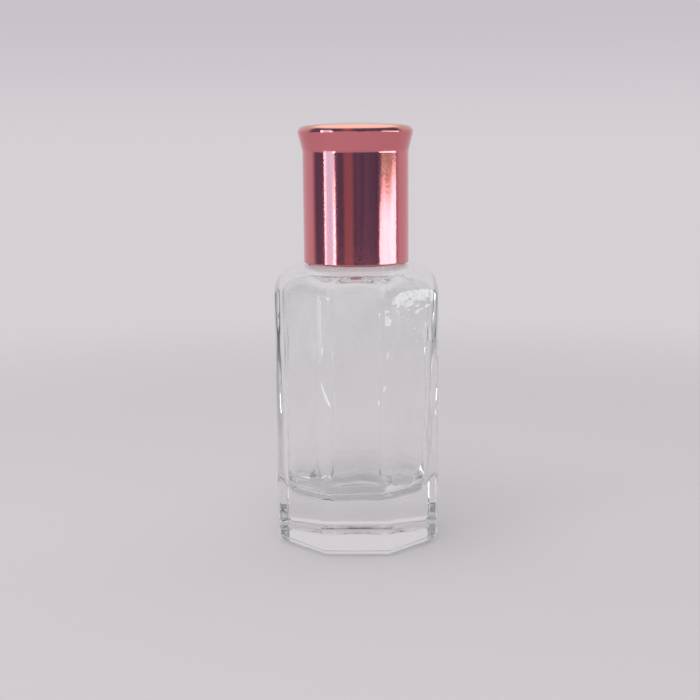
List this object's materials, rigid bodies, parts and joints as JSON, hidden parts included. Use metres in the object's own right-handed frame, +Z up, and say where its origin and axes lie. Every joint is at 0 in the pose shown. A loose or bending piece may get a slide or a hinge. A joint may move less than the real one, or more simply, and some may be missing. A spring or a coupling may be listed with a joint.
{
  "type": "roll-on bottle",
  "caption": "Octagonal clear glass roll-on bottle for perfume oil, with a ball in a pressed-in plug and a flared metallised screw cap with a threaded liner.",
  "frame": {"origin": "middle of the base, on the surface that the bottle stands on", "axes": "+Z up along the bottle's axis; the eight flats of the glass are square to X, to Y and to the diagonals, and the pictured flat faces -Y"},
  "size_m": [0.024, 0.024, 0.0622],
  "materials": {
    "clear_glass": "gloss",
    "natural_plastic": "satin",
    "ball_steel": "polished",
    "seal_foam": "matte",
    "liner_plastic": "satin",
    "rose_metallised": "polished"
  },
  "bodies": {
    "bottle": {"glass_bottle": "clear_glass", "roller_housing": "natural_plastic"},
    "ball": {"roller_ball": "ball_steel"},
    "seal": {"cap_seal_disc": "seal_foam"},
    "cap": {"cap_inner_sleeve": "liner_plastic", "cap_shell": "rose_metallised"}
  },
  "joints": [
    {"name": "ball_roll", "type": "hinge", "parent": "bottle", "child": "ball", "pos_m": [0, 0, 0.05542], "axis": [1, 0, 0], "continuous": true},
    {"name": "cap_lift", "type": "slide", "parent": "bottle", "child": "seal", "axis": [0, 0, 1], "range_m": [0, 0.01909]},
    {"name": "cap_turn", "type": "hinge", "parent": "seal", "child": "cap", "pos_m": [0, 0, 0.05], "axis": [0, 0, 1], "range_deg": [0, 3240]}
  ],
  "couplings": [
    {"joint": "cap_lift", "follows": "cap_turn", "m_per_rad": 0.00033741}
  ]
}
